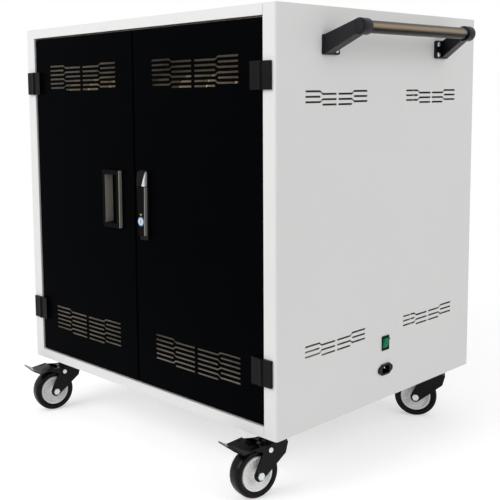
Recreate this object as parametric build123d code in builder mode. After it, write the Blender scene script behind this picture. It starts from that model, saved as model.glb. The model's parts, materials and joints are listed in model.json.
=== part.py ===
# Charging cart: a folded steel cabinet on four swivel casters, with two front
# doors, a rear service door, device bays with dividers and a side push handle.
# Millimetres, +Z up, -Y is the front. The origin is on the floor, in the middle
# of the whole cart's outline.
import os
from math import cos, radians, sin

from build123d import *

os.makedirs("parts", exist_ok=True)

# Cabinet
cabinet_width = 800
cabinet_depth = 685
cabinet_height = 805
sheet = 1.5
bend_radius = 5
side_flange = 32
lip_height = 21
frame_return = 22
return_bend = 1.8
fold_radius = 3

# Doors
door_recess = 2
door_gap = 3.5
door_thickness = 20
door_edge_radius = 2.5
door_back_lip = 14

# Louvre slots: pitch of the rows, slot height and how far inner runs sit lower
row_pitch = 10
slot_height = 3.8
inner_drop = 5
side_outer_run = 44
side_inner_run = 43
side_step = 6
side_centre_gap = 6
side_vent_inset = 82
side_vent_from_top = 158
side_vent_from_base = 164
door_outer_run = 54
door_inner_run = 58
door_step = 7
door_centre_gap = 8
door_vent_inset = 89.5

# Hinges
hinge_height = 52
hinge_inset = 128
leaf_thickness = 5.5
leaf_width = 20
knuckle_radius = 4.2
knuckle_proud = 4.5
knuckle_parts = 3
pin_radius = 1.75
pin_clearance = 0.05
knuckle_gap = 0.4
web_overlap = 1
web_lift = 0.6
pin_overrun = 2

# Door pull
pull_width = 59
pull_height = 127
pull_proud = 8
pull_rim = 10
pull_wall = 2
pull_depth = 14
pull_corner = 4
pull_chamfer = 1.2
cup_outer_draft = 4
cup_inner_draft = 6
pull_from_split = 73
pull_centre_height = 420
panel_clearance = 0.5

# Swing handle lock
lock_width = 30
lock_height = 148
lock_base_proud = 5
lock_lever_proud = 7.5
lock_from_split = 31.5
lock_centre_height = 414
lever_length = 105
lever_gap = 0.5
hub_height = 33
shaft_radius = 6
shaft_clearance = 0.1
neck_wall = 1
lock_taper = 2
lock_corner = 4
lock_chamfer = 0.8
hub_inset = 2
hub_slope = 3
hub_flat = 14
key_radius = 8
key_from_lever_end = 31
cam_thickness = 3
cam_radius = 20
rod_width = 12
rod_thickness = 3
rod_travel = 12
rod_end_gap = 4

# Interior
bay_depth = 440
lower_shelf_height = 170
upper_shelf_height = 480
shelf_lip = 18
bays_per_tier = 10
divider_thickness = 3
divider_height = 210
divider_front_setback = 60
divider_corner = 45
divider_rear_corner = 8
cable_gap = 55
wall_hem = 14
strip_length = 620
strip_width = 50
strip_depth = 38
outlets_per_strip = 10
outlet_width = 30
outlet_height = 24
outlet_depth = 3
tray_depth = 110
tray_drop = 30
tray_lip = 25
unit_width = 150
unit_depth = 210
unit_height = 105

# Mains switch and inlet on the right side
power_entry = 345
switch_height_up = 120
switch_width = 25.5
switch_length = 31
bezel_proud = 2
bezel_lap = 1.8
switch_body_depth = 18
rocker_well = 12
rocker_width = 19
rocker_length = 24
rocker_tilt = 9
inlet_height_up = 63.5
inlet_length = 50
inlet_height = 24
inlet_flange = 3
inlet_body_width = 28
inlet_body_height = 20
inlet_body_depth = 28
socket_width = 24
socket_height = 16
socket_depth = 16
blade_length = 12

# Push handle on the right side
handle_centre = 346
tube_radius = 12
tube_wall = 1.5
tube_exposed = 342
tube_reach = 67
tube_height_up = 764
socket_radius = 15.5
socket_length = 27
socket_cap = 4
foot_length = 48
foot_height = 38
foot_centre_up = 734
foot_thickness = 6
arm_lean = 19
screw_spacing = 21
screw_inset = 9
screw_head_radius = 5
screw_head_height = 2
foot_corner = 4
socket_floor = 6
arm_narrowing = 2
socket_overlap = 4

# Casters
caster_height = 130
wheel_radius = 49
tyre_width = 30
rim_radius = 34
rim_inset = 1
half_web = 5
shoulder_rise = 6
shoulder_run = 5
hub_width = 35
boss_radius = 10
axle_radius = 5
axle_clearance = 0.05
axle_head_radius = 8
axle_head_height = 5
trail = 40
fork_gap = 38
fork_steel = 3
plate_thickness = 3
plate_length = 92
plate_width = 66
plate_corner = 8
thrust_radius = 14
thrust_gap = 0.3
bolt_spacing_x = 74
bolt_spacing_y = 46
bolt_head_radius = 7.5
bolt_head_height = 5
kingpin_radius = 6
kingpin_overrun = 1
thrust_height = 3
caster_inset_side = 60
caster_inset_front = 50
half_crown = 27
dome_radius = 22
leg_end_radius = 12
leg_slant = 6
leg_shoulder = 22
pedal_length = 104
pedal_width = 62
pedal_corner = 8
pedal_steel = 2.5
front_yaw = 257.7
rear_right_yaw = 212
rear_left_yaw = 300

# The outline of the whole cart sets where the cabinet stands about the origin
pedal_swing = radians(270 - front_yaw)
pedal_reach = (
    (pedal_length - pedal_corner) * cos(pedal_swing)
    + (pedal_width / 2 - pedal_corner) * sin(pedal_swing)
    + pedal_corner
)
reach_front = pedal_reach - caster_inset_front
reach_back = knuckle_proud + knuckle_radius
reach_right = tube_reach + socket_radius
left_x = -(cabinet_width + reach_right) / 2
right_x = left_x + cabinet_width
front_y = -(reach_front + cabinet_depth + reach_back) / 2 + reach_front
back_y = front_y + cabinet_depth
mid_x = (left_x + right_x) / 2
base_z = caster_height
top_z = base_z + cabinet_height

# Door openings and door outlines
opening_low_x = left_x + side_flange
opening_high_x = right_x - side_flange
opening_low_z = base_z + lip_height
opening_high_z = top_z - lip_height
door_width = (opening_high_x - opening_low_x - 3 * door_gap) / 2
door_low_z = opening_low_z + door_gap
door_high_z = opening_high_z - door_gap
door_face_y = front_y + door_recess
back_door_face_y = back_y - door_recess
mid_z = (base_z + top_z) / 2
hinge_heights = (base_z + hinge_inset, top_z - hinge_inset)
wall_y = front_y + bay_depth
lower_deck_z = base_z + lower_shelf_height
upper_deck_z = base_z + upper_shelf_height
entry_y = front_y + power_entry
switch_z = base_z + switch_height_up
inlet_z = base_z + inlet_height_up


def save(piece, name):
    """Labels a finished piece and writes its own file."""
    piece.part.label = name
    export_step(piece.part, f"parts/{name}.step")


def block(xs, ys, zs, mode=Mode.ADD):
    """Adds or cuts the box between two corners, given as low and high pairs."""
    centre = (sum(xs) / 2, sum(ys) / 2, sum(zs) / 2)
    with Locations(centre):
        Box(xs[1] - xs[0], ys[1] - ys[0], zs[1] - zs[0], mode=mode)


def facing_front(y):
    """Sketch plane at depth y that faces the front: local x is X, local y is Z."""
    return Plane.XZ.offset(-y)


def facing_back(y):
    """Sketch plane at depth y that faces the back: local x is -X, local y is Z."""
    return Plane(origin=(0, y, 0), x_dir=(-1, 0, 0), z_dir=(0, 1, 0))


def facing_right(x):
    """Sketch plane at x that faces right: local x is Y, local y is Z."""
    return Plane.YZ.offset(x)


def louvre_half(centre, row, hand, outer, step, inner, gap):
    """One half of a three-row louvre group: two cranked slots and two short ones."""
    g = gap / 2
    i = g + inner
    k = i + step
    o = k + outer
    h = slot_height / 2
    crank_top = row
    crank_low = row - inner_drop
    rise_outer = row - 2 * row_pitch
    rise_inner = rise_outer + inner_drop
    outlines = [
        [(o, crank_top + h), (k, crank_top + h), (i, crank_low + h), (g, crank_low + h),
         (g, crank_low - h), (i, crank_low - h), (k, crank_top - h), (o, crank_top - h)],
        [(o, rise_outer + h), (k, rise_outer + h), (i, rise_inner + h), (g, rise_inner + h),
         (g, rise_inner - h), (i, rise_inner - h), (k, rise_outer - h), (o, rise_outer - h)],
        [(o, row - row_pitch + h), (k, row - row_pitch + h),
         (k, row - row_pitch - h), (o, row - row_pitch - h)],
        [(i, rise_outer - inner_drop + h), (g, rise_outer - inner_drop + h),
         (g, rise_outer - inner_drop - h), (i, rise_outer - inner_drop - h)],
    ]
    for outline in outlines:
        Polygon(*[(centre + hand * u, w) for u, w in outline], align=None)


def louvre_group(centre, row, outer, step, inner, gap):
    """A whole three-row louvre group, mirrored about its centre line."""
    for hand in (-1, 1):
        louvre_half(centre, row, hand, outer, step, inner, gap)


def side_vent_centres():
    """Centre lines of the front and rear vents on a side panel."""
    half = side_centre_gap / 2 + side_inner_run + side_step + side_outer_run
    return (front_y + side_vent_inset + half, back_y - side_vent_inset - half)


def side_panel(hand):
    """Folded side wall with front and rear flanges, their returns and its vents."""
    outer_x = left_x if hand < 0 else right_x
    flange_x = outer_x - hand * side_flange
    with BuildPart() as panel:
        with BuildSketch(Plane.XY.offset(base_z + sheet)):
            with BuildLine():
                FilletPolyline(
                    (flange_x, front_y + frame_return),
                    (flange_x, front_y),
                    (outer_x, front_y),
                    (outer_x, back_y),
                    (flange_x, back_y),
                    (flange_x, back_y - frame_return),
                    radius=(return_bend, bend_radius, bend_radius, return_bend),
                )
                offset(amount=sheet, side=Side.RIGHT if hand < 0 else Side.LEFT)
            make_face()
        extrude(amount=cabinet_height - 2 * sheet)
        with BuildSketch(facing_right(outer_x)):
            for centre in side_vent_centres():
                for row in (top_z - side_vent_from_top, base_z + side_vent_from_base):
                    louvre_group(
                        centre, row, side_outer_run, side_step, side_inner_run, side_centre_gap
                    )
        extrude(amount=2 * sheet, both=True, mode=Mode.SUBTRACT)
        if hand > 0:
            with BuildSketch(facing_right(outer_x)):
                with Locations((entry_y, switch_z)):
                    Rectangle(
                        switch_width - 2 * bezel_lap + panel_clearance,
                        switch_length - 2 * bezel_lap + panel_clearance,
                    )
                with Locations((entry_y, inlet_z)):
                    Rectangle(inlet_body_width + panel_clearance, inlet_body_height + panel_clearance)
            extrude(amount=2 * sheet, both=True, mode=Mode.SUBTRACT)
    return panel


def end_panel(low_side):
    """Top or base panel: the flat sheet with a folded lip and return front and back."""
    outer_z = base_z if low_side else top_z
    inward = 1 if low_side else -1
    with BuildPart() as panel:
        with BuildSketch(Plane.XY.offset(min(outer_z, outer_z + inward * sheet))):
            with BuildLine():
                FilletPolyline(
                    (left_x, front_y), (right_x, front_y), (right_x, back_y), (left_x, back_y),
                    radius=bend_radius, close=True,
                )
            make_face()
        extrude(amount=sheet)
        lip_end = outer_z + inward * lip_height
        lip_zs = sorted((outer_z + inward * sheet, lip_end))
        return_zs = sorted((lip_end - inward * sheet, lip_end))
        for face_y, into in ((front_y, 1), (back_y, -1)):
            lip_ys = sorted((face_y, face_y + into * sheet))
            return_ys = sorted((face_y, face_y + into * frame_return))
            block((opening_low_x, opening_high_x), lip_ys, lip_zs)
            block((opening_low_x, opening_high_x), return_ys, return_zs)
    return panel


def hinge_axis(hand, back=False):
    """X and Y of a hinge pin; hand is -1 at the left opening edge, 1 at the right."""
    edge = opening_low_x if hand < 0 else opening_high_x
    x = edge - hand * door_gap / 2
    y = back_y + knuckle_proud if back else front_y - knuckle_proud
    return x, y


def add_hinge_half(hand, back, centre_z, on_door):
    """Adds one hinge leaf with its share of the knuckles."""
    x, y = hinge_axis(hand, back)
    out = 1 if back else -1
    face = back_y if back else front_y
    leaf_face = face + out * leaf_thickness
    inner = face - out * door_recess if on_door else face
    toward = -hand if on_door else hand
    start = knuckle_radius + knuckle_gap
    leaf_xs = sorted((x + toward * start, x + toward * (start + leaf_width)))
    block(leaf_xs, sorted((leaf_face, inner)), (centre_z - hinge_height / 2, centre_z + hinge_height / 2))
    part_height = hinge_height / knuckle_parts
    web_xs = sorted((x, x + toward * (start + web_overlap)))
    for n in range(knuckle_parts):
        if (n % 2 == 1) != on_door:
            continue
        low = centre_z - hinge_height / 2 + n * part_height
        trim = knuckle_gap / 2
        with Locations((x, y, low + part_height / 2)):
            Cylinder(knuckle_radius, part_height - 2 * trim)
        block(web_xs, sorted((leaf_face, face + out * web_lift)), (low + trim, low + part_height - trim))
    with Locations((x, y, centre_z)):
        Cylinder(pin_radius + pin_clearance, hinge_height + pin_overrun, mode=Mode.SUBTRACT)


def hinge_leaves(places, on_door):
    """A group of hinge halves, one for each place in (hand, back)."""
    with BuildPart() as leaves:
        for hand, back in places:
            for centre_z in hinge_heights:
                add_hinge_half(hand, back, centre_z, on_door)
    return leaves


def hinge_pins(places):
    """The pins of a group of hinges, a little longer than the knuckles."""
    with BuildPart() as pins:
        for hand, back in places:
            x, y = hinge_axis(hand, back)
            for centre_z in hinge_heights:
                with Locations((x, y, centre_z)):
                    Cylinder(pin_radius, hinge_height + pin_overrun)
    return pins


def hollow_pan(xs, face_y, into):
    """Cuts the room inside a door pan and the opening inside its back lip."""
    deep = face_y + into * door_thickness
    room_ys = sorted((face_y + into * sheet, deep - into * sheet))
    mouth_ys = sorted((deep - into * 2 * sheet, deep + into))
    block(
        (xs[0] + sheet, xs[1] - sheet), room_ys, (door_low_z + sheet, door_high_z - sheet),
        mode=Mode.SUBTRACT,
    )
    block(
        (xs[0] + door_back_lip, xs[1] - door_back_lip), mouth_ys,
        (door_low_z + door_back_lip, door_high_z - door_back_lip),
        mode=Mode.SUBTRACT,
    )


left_door_xs = (opening_low_x + door_gap, opening_low_x + door_gap + door_width)
right_door_xs = (opening_high_x - door_gap - door_width, opening_high_x - door_gap)
back_door_xs = (opening_low_x + door_gap, opening_high_x - door_gap)
pull_x = left_door_xs[1] - pull_from_split
pull_z = base_z + pull_centre_height
lock_x = right_door_xs[0] + lock_from_split
lock_z = base_z + lock_centre_height
lock_top_z = lock_z + lock_height / 2
lock_low_z = lock_z - lock_height / 2
hub_z = lock_top_z - hub_height / 2
cup_width = pull_width - 2 * pull_rim
cup_height = pull_height - 2 * pull_rim


def front_door(hand):
    """Front door leaf with its louvre rows and the cut-out for its pull or lock."""
    xs = left_door_xs if hand < 0 else right_door_xs
    centre = sum(xs) / 2
    upper_row = top_z - door_vent_inset
    lower_row = base_z + door_vent_inset + 5 * row_pitch
    with BuildPart() as door:
        with BuildSketch(Plane.XY.offset(door_low_z)):
            with BuildLine():
                FilletPolyline(
                    (xs[0], door_face_y + door_thickness), (xs[0], door_face_y),
                    (xs[1], door_face_y), (xs[1], door_face_y + door_thickness),
                    radius=door_edge_radius,
                )
                Line((xs[1], door_face_y + door_thickness), (xs[0], door_face_y + door_thickness))
            make_face()
        extrude(amount=door_high_z - door_low_z)
        hollow_pan(xs, door_face_y, 1)
        with BuildSketch(facing_front(door_face_y)):
            for row in (upper_row, upper_row - 3 * row_pitch, lower_row, lower_row - 3 * row_pitch):
                louvre_group(centre, row, door_outer_run, door_step, door_inner_run, door_centre_gap)
        extrude(amount=2 * sheet, both=True, mode=Mode.SUBTRACT)
        with BuildSketch(facing_front(door_face_y)):
            if hand < 0:
                with Locations((pull_x, pull_z)):
                    Rectangle(
                        cup_width + 2 * (pull_wall + panel_clearance),
                        cup_height + 2 * (pull_wall + panel_clearance),
                    )
            else:
                with Locations((lock_x, hub_z)):
                    Circle(shaft_radius + shaft_clearance + neck_wall)
        extrude(amount=2 * sheet, both=True, mode=Mode.SUBTRACT)
    return door


def door_pull():
    """Recessed cup pull: a raised rim plate with a drafted cup behind it."""
    rim_y = door_face_y - pull_proud
    with BuildPart() as pull:
        with BuildSketch(facing_front(door_face_y)):
            with Locations((pull_x, pull_z)):
                RectangleRounded(pull_width, pull_height, pull_corner)
        extrude(amount=pull_proud)
        chamfer(pull.faces().sort_by(Axis.Y)[0].edges(), length=pull_chamfer)
        with BuildSketch(facing_back(door_face_y)):
            with Locations((-pull_x, pull_z)):
                Rectangle(cup_width + 2 * pull_wall, cup_height + 2 * pull_wall)
        extrude(amount=pull_depth, taper=cup_outer_draft)
        with BuildSketch(facing_back(rim_y)):
            with Locations((-pull_x, pull_z)):
                Rectangle(cup_width, cup_height)
        extrude(amount=pull_proud + pull_depth - pull_wall, taper=cup_inner_draft, mode=Mode.SUBTRACT)
    return pull


def lock_base():
    """Escutcheon of the swing handle: a long plate, narrower at its foot."""
    with BuildPart() as base:
        with BuildSketch(facing_front(door_face_y)):
            with BuildLine():
                FilletPolyline(
                    (lock_x - lock_width / 2, lock_top_z), (lock_x - lock_width / 2, lock_z),
                    (lock_x - lock_width / 2 + lock_taper, lock_low_z),
                    (lock_x + lock_width / 2 - lock_taper, lock_low_z),
                    (lock_x + lock_width / 2, lock_z), (lock_x + lock_width / 2, lock_top_z),
                    radius=lock_corner, close=True,
                )
            make_face()
        extrude(amount=lock_base_proud)
        chamfer(base.faces().sort_by(Axis.Y)[0].edges(), length=lock_chamfer)
        with BuildSketch(facing_back(door_face_y)):
            with Locations((-lock_x, hub_z)):
                Circle(shaft_radius + shaft_clearance + neck_wall)
        extrude(amount=sheet + 2)
        with BuildSketch(facing_front(door_face_y)):
            with Locations((lock_x, hub_z)):
                Circle(shaft_radius + shaft_clearance / 2)
        extrude(amount=door_thickness, both=True, mode=Mode.SUBTRACT)
    return base


lever_face_y = door_face_y - lock_base_proud - lock_lever_proud
lever_back_y = door_face_y - lock_base_proud - 0.3
pivot_z = lock_top_z - hub_height - lever_gap
lever_low_z = pivot_z - lever_length
key_z = lever_low_z + key_from_lever_end
cam_y = door_face_y + sheet + 4
rod_y = cam_y + cam_thickness + lever_gap


def lock_hub():
    """Rounded hub of the swing handle with the shaft that carries the cam."""
    with BuildPart() as hub:
        with BuildSketch(facing_right(lock_x - lock_width / 2 + hub_inset)):
            with BuildLine():
                FilletPolyline(
                    (lever_back_y, lock_top_z - hub_inset), (lever_face_y + hub_slope, lock_top_z - hub_inset),
                    (lever_face_y, pivot_z + hub_flat), (lever_face_y, pivot_z + lever_gap),
                    (lever_back_y, pivot_z + lever_gap),
                    radius=1, close=True,
                )
            make_face()
        extrude(amount=lock_width - 2 * hub_inset)
        with BuildSketch(facing_back(lever_back_y)):
            with Locations((-lock_x, hub_z)):
                Circle(shaft_radius)
        extrude(amount=cam_y - lever_back_y)
    return hub


def lock_lever():
    """Lever of the swing handle, thicker at its free end, with the key bore."""
    half = lock_width / 2 - hub_inset
    with BuildPart() as lever:
        with BuildSketch(facing_front(lever_back_y)):
            with BuildLine():
                FilletPolyline(
                    (lock_x - half, pivot_z - lever_gap), (lock_x - half + 2.5, lever_low_z),
                    (lock_x + half - 2.5, lever_low_z), (lock_x + half, pivot_z - lever_gap),
                    radius=3, close=True,
                )
            make_face()
        extrude(amount=lock_lever_proud - 0.3)
        chamfer(lever.faces().sort_by(Axis.Y)[0].edges(), length=1.5)
        with BuildSketch(facing_front(lever_face_y)):
            with Locations((lock_x, key_z)):
                Circle(key_radius + shaft_clearance / 2)
        extrude(amount=-(lock_lever_proud - 2), mode=Mode.SUBTRACT)
    return lever


def key_cylinder():
    """Key cylinder in the lever: a plug with a raised collar and a keyway."""
    seat_y = lever_face_y + lock_lever_proud - 2
    with BuildPart() as cylinder:
        with BuildSketch(facing_front(seat_y)):
            with Locations((lock_x, key_z)):
                Circle(key_radius)
        extrude(amount=lock_lever_proud - 1)
        with BuildSketch(facing_front(lever_face_y - 1)):
            with Locations((lock_x, key_z)):
                Rectangle(2, 9)
        extrude(amount=-4, mode=Mode.SUBTRACT)
    return cylinder


def lock_cam():
    """Two-armed cam on the back end of the lock shaft."""
    with BuildPart() as cam:
        with BuildSketch(facing_back(cam_y)):
            with Locations((-lock_x, hub_z)):
                SlotOverall(2 * cam_radius, rod_width, rotation=90)
                Circle(shaft_radius + 3)
        extrude(amount=cam_thickness)
    return cam


def lock_rods():
    """Upper and lower bolt rods, which slide behind the cam to lock at both ends."""
    ends = (
        ("upper_rod", hub_z + rod_travel + 2, door_high_z - sheet - rod_end_gap),
        ("lower_rod", door_low_z + sheet + rod_end_gap, hub_z - rod_travel - 2),
    )
    rods = {}
    for name, low, high in ends:
        with BuildPart() as rod:
            with BuildSketch(facing_back(rod_y)):
                with Locations((-lock_x, (low + high) / 2)):
                    RectangleRounded(rod_width, high - low, 2)
            extrude(amount=rod_thickness)
        rods[name] = rod
    return rods


def rod_guides():
    """Bridges that hold the two rods to the door's inner face."""
    with BuildPart() as guides:
        for z in (door_low_z + 90, hub_z - 110, hub_z + 60, door_high_z - 90):
            with BuildSketch(Plane.XY.offset(z)):
                with Locations((lock_x, (door_face_y + sheet + rod_y + rod_thickness + 2.5) / 2)):
                    Rectangle(rod_width + 6, rod_y + rod_thickness + 2.5 - door_face_y - sheet)
                with Locations((lock_x, rod_y + rod_thickness / 2)):
                    Rectangle(rod_width + 0.6, rod_thickness + 0.6, mode=Mode.SUBTRACT)
            extrude(amount=14)
    return guides


def back_door():
    """Rear service door: one wide pan with plain vent slots and a lock hole."""
    with BuildPart() as door:
        with BuildSketch(Plane.XY.offset(door_low_z)):
            with BuildLine():
                FilletPolyline(
                    (back_door_xs[0], back_door_face_y - door_thickness),
                    (back_door_xs[0], back_door_face_y),
                    (back_door_xs[1], back_door_face_y),
                    (back_door_xs[1], back_door_face_y - door_thickness),
                    radius=door_edge_radius,
                )
                Line(
                    (back_door_xs[1], back_door_face_y - door_thickness),
                    (back_door_xs[0], back_door_face_y - door_thickness),
                )
            make_face()
        extrude(amount=door_high_z - door_low_z)
        hollow_pan(back_door_xs, back_door_face_y, -1)
        with BuildSketch(facing_back(back_door_face_y)):
            for z in (top_z - door_vent_inset - 2 * row_pitch, base_z + door_vent_inset + 2 * row_pitch):
                with Locations((-mid_x, z)):
                    with GridLocations(190, 2 * row_pitch, 3, 3):
                        Rectangle(150, slot_height)
            with Locations((-back_lock_x, mid_z)):
                Circle(back_lock_radius + shaft_clearance / 2)
        extrude(amount=2 * sheet, both=True, mode=Mode.SUBTRACT)
    return door


back_lock_radius = 9
tongue_length = 52
back_lock_x = back_door_xs[1] - 30
back_lock_seat_y = back_door_face_y - door_thickness - 2


def back_lock():
    """Cam lock of the rear door: a collared barrel with a keyway and its tongue."""
    with BuildPart() as lock:
        with BuildSketch(facing_back(back_door_face_y)):
            with Locations((-back_lock_x, mid_z)):
                Circle(back_lock_radius + 3)
        extrude(amount=2)
        with BuildSketch(facing_back(back_lock_seat_y)):
            with Locations((-back_lock_x, mid_z)):
                Circle(back_lock_radius)
        extrude(amount=back_door_face_y - back_lock_seat_y)
        with BuildSketch(facing_back(back_door_face_y + 2)):
            with Locations((-back_lock_x, mid_z)):
                Rectangle(2, 9)
        extrude(amount=-4, mode=Mode.SUBTRACT)
        with BuildSketch(facing_back(back_lock_seat_y)):
            with Locations((-back_lock_x, mid_z - tongue_length / 2 + 8)):
                SlotOverall(tongue_length, 14, rotation=90)
        extrude(amount=-2)
    return lock


def shelf(deck_z):
    """Device shelf: a sheet with folded front and rear lips, between the side panels."""
    xs = (left_x + sheet, right_x - sheet)
    ys = (front_y + frame_return + door_gap, wall_y)
    with BuildPart() as deck:
        with BuildSketch(facing_right(xs[0])):
            with BuildLine():
                FilletPolyline(
                    (ys[0], deck_z - shelf_lip), (ys[0], deck_z), (ys[1], deck_z),
                    (ys[1], deck_z - shelf_lip),
                    radius=fold_radius,
                )
                offset(amount=sheet, side=Side.RIGHT)
            make_face()
        extrude(amount=xs[1] - xs[0])
    return deck


bay_pitch = (cabinet_width - 2 * sheet) / bays_per_tier


def dividers(deck_z):
    """A tier of upright dividers, well rounded at the upper front corner."""
    low_y = front_y + divider_front_setback
    high_y = wall_y - 8
    top = deck_z + divider_height
    with BuildPart() as plates:
        for n in range(1, bays_per_tier):
            x = left_x + sheet + n * bay_pitch - divider_thickness / 2
            with BuildSketch(facing_right(x)):
                with BuildLine():
                    FilletPolyline(
                        (low_y, deck_z), (low_y, top), (high_y, top), (high_y, deck_z),
                        radius=(divider_corner, divider_rear_corner),
                    )
                    Line((high_y, deck_z), (low_y, deck_z))
                make_face()
            extrude(amount=divider_thickness)
    return plates


def partition_walls():
    """Folded walls behind the device bays, each with a gap over it for cables."""
    with BuildPart() as walls:
        for deck_z, ceiling_z in (
            (lower_deck_z, upper_deck_z - shelf_lip), (upper_deck_z, top_z - sheet),
        ):
            with BuildSketch(facing_right(left_x + sheet)):
                with BuildLine():
                    FilletPolyline(
                        (wall_y, deck_z - shelf_lip), (wall_y, ceiling_z - cable_gap),
                        (wall_y + wall_hem, ceiling_z - cable_gap),
                        radius=fold_radius,
                    )
                    offset(amount=sheet, side=Side.RIGHT)
                make_face()
            extrude(amount=cabinet_width - 2 * sheet)
    return walls


def power_strips():
    """Two outlet strips on the back of the partition."""
    face_y = wall_y + sheet + strip_depth
    with BuildPart() as strips:
        for deck_z in (lower_deck_z, upper_deck_z):
            z = deck_z + 0.25 * divider_height
            block(
                (mid_x - strip_length / 2, mid_x + strip_length / 2),
                (wall_y + sheet, face_y), (z - strip_width / 2, z + strip_width / 2),
            )
        chamfer(strips.faces().filter_by(Axis.Y).group_by(Axis.Y)[-1].edges(), length=3)
        with BuildSketch(facing_back(face_y)):
            for deck_z in (lower_deck_z, upper_deck_z):
                with Locations((-mid_x, deck_z + 0.25 * divider_height)):
                    with GridLocations(strip_length / outlets_per_strip, 1, outlets_per_strip, 1):
                        Rectangle(outlet_width, outlet_height)
        extrude(amount=-outlet_depth, mode=Mode.SUBTRACT)
    return strips


def adapter_trays():
    """Two folded trays for power adapters, behind the partition."""
    with BuildPart() as trays:
        for deck_z in (lower_deck_z, upper_deck_z):
            with BuildSketch(facing_right(left_x + sheet)):
                with BuildLine():
                    FilletPolyline(
                        (wall_y + sheet, deck_z), (wall_y + sheet, deck_z - tray_drop),
                        (wall_y + tray_depth, deck_z - tray_drop),
                        (wall_y + tray_depth, deck_z - tray_drop + tray_lip),
                        radius=fold_radius,
                    )
                    offset(amount=sheet, side=Side.LEFT)
                make_face()
            extrude(amount=cabinet_width - 2 * sheet)
    return trays


def power_unit():
    """Mains control box on the base panel, beside the inlet."""
    xs = (right_x - 60 - unit_width, right_x - 60)
    ys = (front_y + power_entry - unit_depth / 2, front_y + power_entry + unit_depth / 2)
    zs = (base_z + sheet, base_z + sheet + unit_height)
    with BuildPart() as unit:
        block(xs, ys, zs)
        fillet(unit.edges().filter_by(Axis.Y).group_by(Axis.Z)[-1], radius=4)
    return unit


def switch_bezel():
    """Rocker switch housing: a flanged frame with a body behind the panel."""
    with BuildPart() as bezel:
        with BuildSketch(facing_right(right_x)):
            with Locations((entry_y, switch_z)):
                RectangleRounded(switch_width, switch_length, 1.5)
        extrude(amount=bezel_proud)
        with BuildSketch(facing_right(right_x)):
            with Locations((entry_y, switch_z)):
                Rectangle(switch_width - 2 * bezel_lap, switch_length - 2 * bezel_lap)
        extrude(amount=-switch_body_depth)
        with BuildSketch(facing_right(right_x + bezel_proud)):
            with Locations((entry_y, switch_z)):
                Rectangle(rocker_width + 1, rocker_length + 1)
        extrude(amount=-rocker_well, mode=Mode.SUBTRACT)
    return bezel


def switch_rocker():
    """The rocker: a cranked key that tilts about a pin across the switch."""
    rise = 5.5
    drop = rocker_length / 2 * sin(radians(rocker_tilt))
    half = rocker_length / 2 - 0.6
    front = Plane(origin=(right_x, entry_y - rocker_width / 2, switch_z), x_dir=(1, 0, 0), z_dir=(0, -1, 0))
    with BuildPart() as rocker:
        with BuildSketch(front):
            with BuildLine():
                Polyline(
                    (-3, -half + 1.5), (bezel_proud - 0.8, -half + 0.6),
                    (bezel_proud + 1.2, 0), (bezel_proud - 0.8 + rise, half - 0.8),
                    (bezel_proud + rise - 3, half), (-3, half - 2.5), (-6, 0),
                    close=True,
                )
            make_face()
        extrude(amount=-rocker_width)
    return rocker


def inlet_housing():
    """Mains inlet: an eared flange, a recessed socket and the body behind the panel."""
    with BuildPart() as housing:
        with BuildSketch(facing_right(right_x)):
            with BuildLine():
                Polyline(
                    (entry_y - inlet_length / 2, inlet_z - 4), (entry_y - inlet_length / 2, inlet_z + 4),
                    (entry_y - inlet_length / 4, inlet_z + inlet_height / 2),
                    (entry_y + inlet_length / 4, inlet_z + inlet_height / 2),
                    (entry_y + inlet_length / 2, inlet_z + 4), (entry_y + inlet_length / 2, inlet_z - 4),
                    (entry_y + inlet_length / 4, inlet_z - inlet_height / 2),
                    (entry_y - inlet_length / 4, inlet_z - inlet_height / 2),
                    close=True,
                )
            make_face()
        extrude(amount=inlet_flange)
        fillet(housing.edges().filter_by(Axis.X), radius=2.5)
        with BuildSketch(facing_right(right_x)):
            with Locations((entry_y, inlet_z)):
                Rectangle(inlet_body_width, inlet_body_height)
        extrude(amount=-inlet_body_depth)
        with BuildSketch(facing_right(right_x + inlet_flange)):
            with BuildLine():
                Polyline(
                    (entry_y - socket_width / 2, inlet_z - socket_height / 2),
                    (entry_y - socket_width / 2, inlet_z + socket_height / 4),
                    (entry_y - socket_width / 3, inlet_z + socket_height / 2),
                    (entry_y + socket_width / 3, inlet_z + socket_height / 2),
                    (entry_y + socket_width / 2, inlet_z + socket_height / 4),
                    (entry_y + socket_width / 2, inlet_z - socket_height / 2),
                    close=True,
                )
            make_face()
        extrude(amount=-socket_depth, mode=Mode.SUBTRACT)
    return housing


def inlet_blades():
    """The three contact blades that stand in the inlet's socket."""
    floor_x = right_x + inlet_flange - socket_depth
    with BuildPart() as blades:
        with BuildSketch(facing_right(floor_x)):
            with Locations((entry_y - 7, inlet_z - 2), (entry_y + 7, inlet_z - 2), (entry_y, inlet_z + 2)):
                Rectangle(2, 4)
        extrude(amount=blade_length)
    return blades


tube_x = right_x + tube_reach
tube_z = base_z + tube_height_up
handle_y = front_y + handle_centre


def handle_tube():
    """Thin-walled push handle tube, seated in both bracket sockets."""
    length = tube_exposed + 2 * (socket_length - socket_floor)
    with BuildPart() as tube:
        with BuildSketch(facing_front(handle_y + length / 2)):
            with Locations((tube_x, tube_z)):
                Circle(tube_radius)
                Circle(tube_radius - tube_wall, mode=Mode.SUBTRACT)
        extrude(amount=length)
    return tube


def foot_centre(hand):
    """Middle of a bracket foot along Y; hand is -1 for the front bracket."""
    return handle_y + hand * (tube_exposed / 2 + socket_length + arm_lean - foot_length / 2)


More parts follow.
